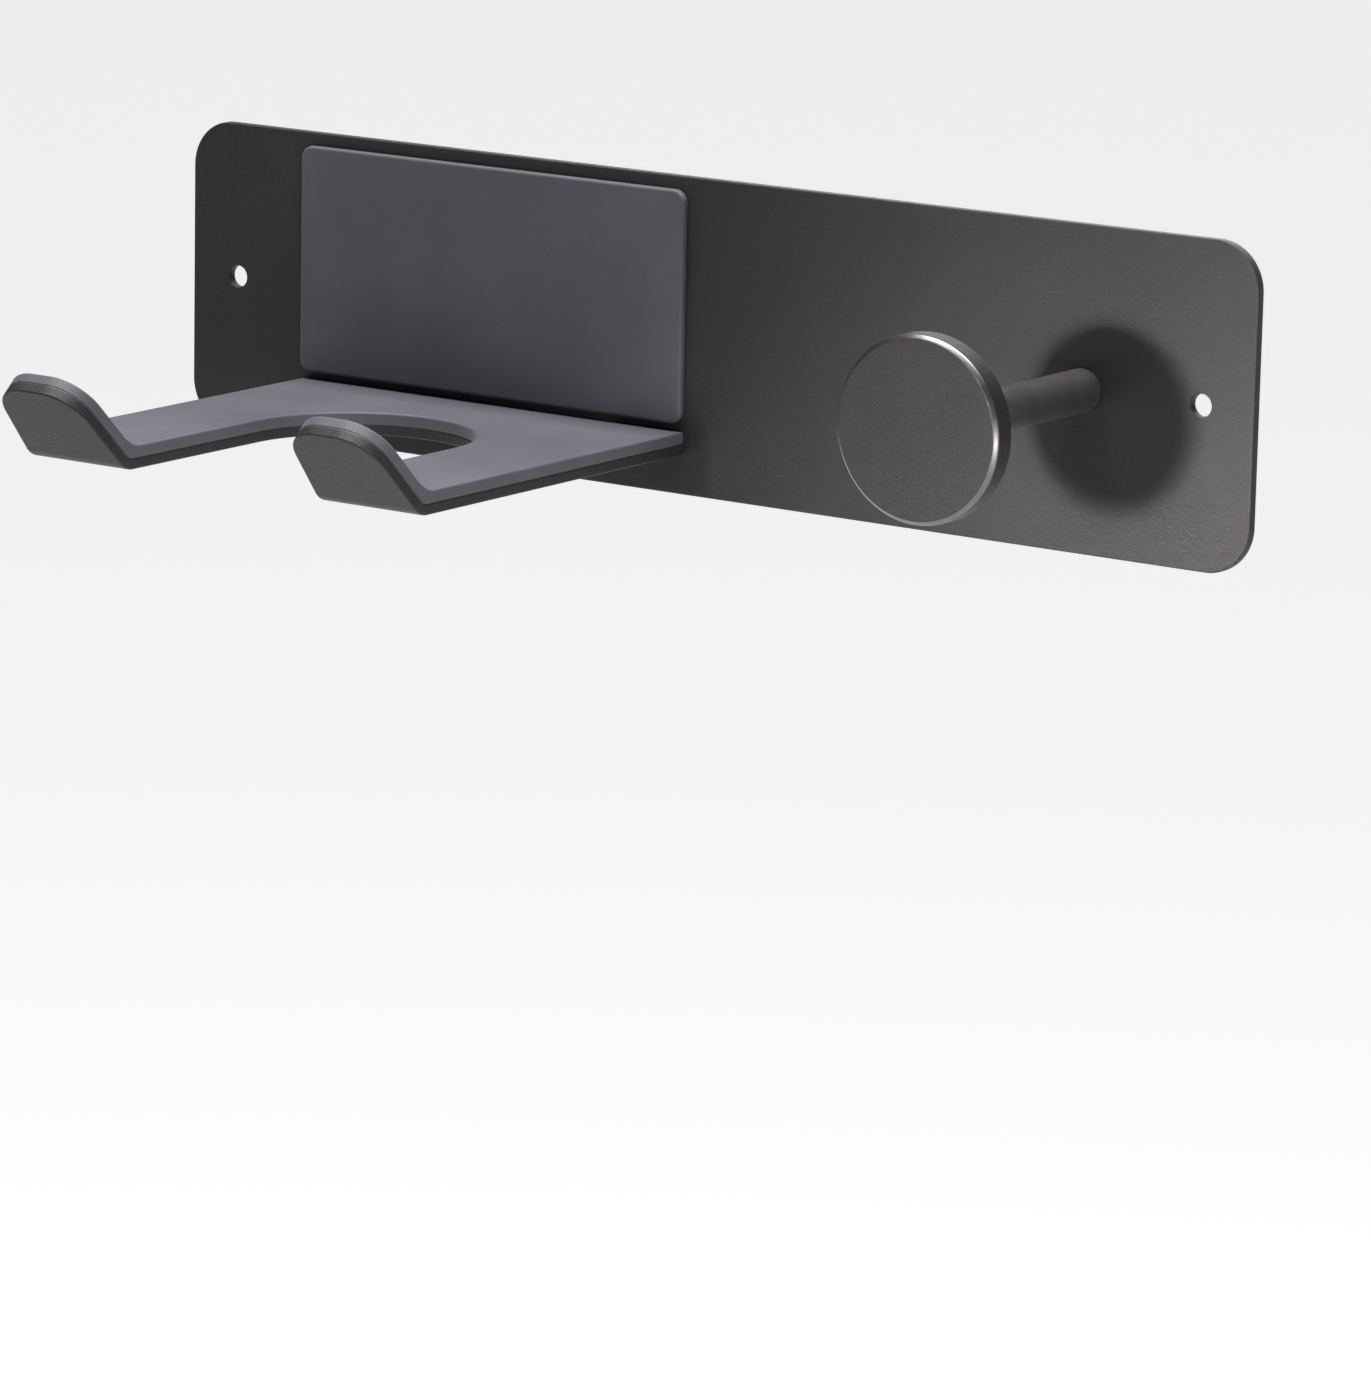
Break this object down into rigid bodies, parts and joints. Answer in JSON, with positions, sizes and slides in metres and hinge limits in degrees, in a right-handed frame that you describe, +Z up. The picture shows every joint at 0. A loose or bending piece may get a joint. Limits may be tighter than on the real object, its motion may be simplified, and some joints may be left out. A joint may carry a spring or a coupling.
{
  "type": "wall-mounted hair dryer holder",
  "caption": "Slim wall plate with a padded, U-slotted shelf whose upturned lips cradle a hair dryer, and a round-capped peg for its coiled cord.",
  "frame": {"origin": "on the back plate's rear face, midway between the two wall screw holes", "axes": "+X along the wall to the right as seen from the room, +Y into the wall, +Z up; the cradle and the peg stand out along -Y"},
  "size_m": [0.24, 0.098, 0.06],
  "materials": {
    "coated_steel": "fine matt powder coat, warm near-black grey",
    "silicone": "smooth matt silicone, bluish grey",
    "anodised": "bead-blasted grey anodising, with a bright cut bevel on the cap",
    "screw_steel": "plain zinc-plated steel",
    "adhesive_film": "thin clear-to-cream transfer film",
    "foam_tape": "closed-cell acrylic foam, matt"
  },
  "bodies": {
    "root": {"back_plate": "coated_steel", "cradle": "coated_steel", "cradle_welds": "coated_steel", "back_pad": "silicone", "back_pad_film": "adhesive_film", "cradle_liner": "silicone", "cradle_liner_film": "adhesive_film", "peg_stem": "anodised", "peg_cap": "anodised", "peg_screw": "screw_steel", "foam_pad_left": "foam_tape", "foam_pad_middle": "foam_tape", "foam_pad_right": "foam_tape"}
  },
  "joints": []
}
